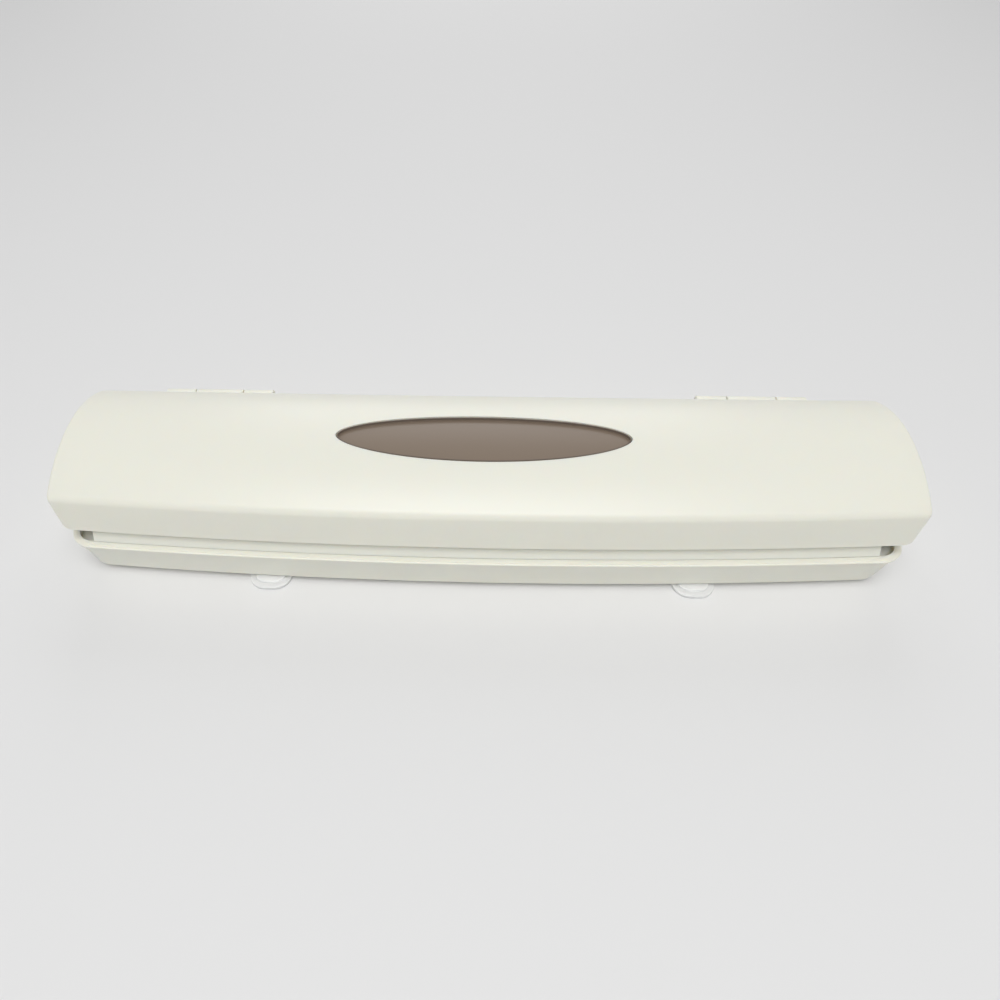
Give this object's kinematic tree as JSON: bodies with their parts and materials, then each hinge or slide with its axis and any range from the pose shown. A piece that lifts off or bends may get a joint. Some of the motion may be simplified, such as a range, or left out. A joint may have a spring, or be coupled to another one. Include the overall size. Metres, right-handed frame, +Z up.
{
  "type": "cling film dispenser",
  "caption": "Kitchen cling film dispenser: a long cream tray and hinged domed lid with a smoked window, a hidden saw-toothed blade and a sprung presser.",
  "frame": {"origin": "on the worktop, under the middle of the whole object's box", "axes": "+X along the dispenser's length to the right, +Y to the hinges at the rear, +Z up"},
  "size_m": [0.3902, 0.0962, 0.0619],
  "materials": {
    "cream_shell": "satin, warm cream white",
    "smoked_lens": "glossy, smoke brown, see-through",
    "steel": "bright",
    "clear_rubber": "translucent white, soft",
    "grip_rubber": "matt grey",
    "hub_plastic": "natural white"
  },
  "bodies": {
    "base": {"base_tray": "cream_shell", "film_platform": "cream_shell", "film_grip_strip": "grip_rubber", "foot_front_left": "clear_rubber", "foot_rear_left": "clear_rubber", "foot_front_right": "clear_rubber", "foot_rear_right": "clear_rubber", "hinge_pin_left": "steel", "hinge_pin_right": "steel", "roll_cradle_left": "cream_shell", "roll_cradle_right": "cream_shell", "return_spring_left": "steel", "return_spring_right": "steel"},
    "lid": {"lid_shell": "cream_shell", "window_lens": "smoked_lens", "blade_carrier": "cream_shell", "cutting_blade": "steel", "carrier_screw_1": "steel", "carrier_screw_2": "steel", "carrier_screw_3": "steel", "carrier_screw_4": "steel", "presser_spring_1": "steel", "presser_spring_2": "steel", "presser_spring_3": "steel"},
    "presser": {"presser_bar": "cream_shell", "presser_pad": "grip_rubber"},
    "hub_left": {"roll_hub_left": "hub_plastic"},
    "hub_right": {"roll_hub_right": "hub_plastic"}
  },
  "joints": [
    {"name": "lid_hinge", "type": "hinge", "parent": "base", "child": "lid", "pos_m": [0, 0.04491, 0.0422], "axis": [-1, 0, 0], "range_deg": [-2, 105], "deforming": ["return_spring_left", "return_spring_right"]},
    {"name": "presser_slide", "type": "slide", "parent": "lid", "child": "presser", "axis": [0, 0, 1], "range_m": [0, 0.002], "stiffness_N_per_m": 300, "springref_m": -0.002, "deforming": ["presser_spring_1", "presser_spring_2", "presser_spring_3"]},
    {"name": "hub_left_spin", "type": "hinge", "parent": "base", "child": "hub_left", "pos_m": [-0.15, 0.00634, 0.0315], "axis": [1, 0, 0], "continuous": true},
    {"name": "hub_right_spin", "type": "hinge", "parent": "base", "child": "hub_right", "pos_m": [0.15, 0.00634, 0.0315], "axis": [1, 0, 0], "continuous": true}
  ]
}
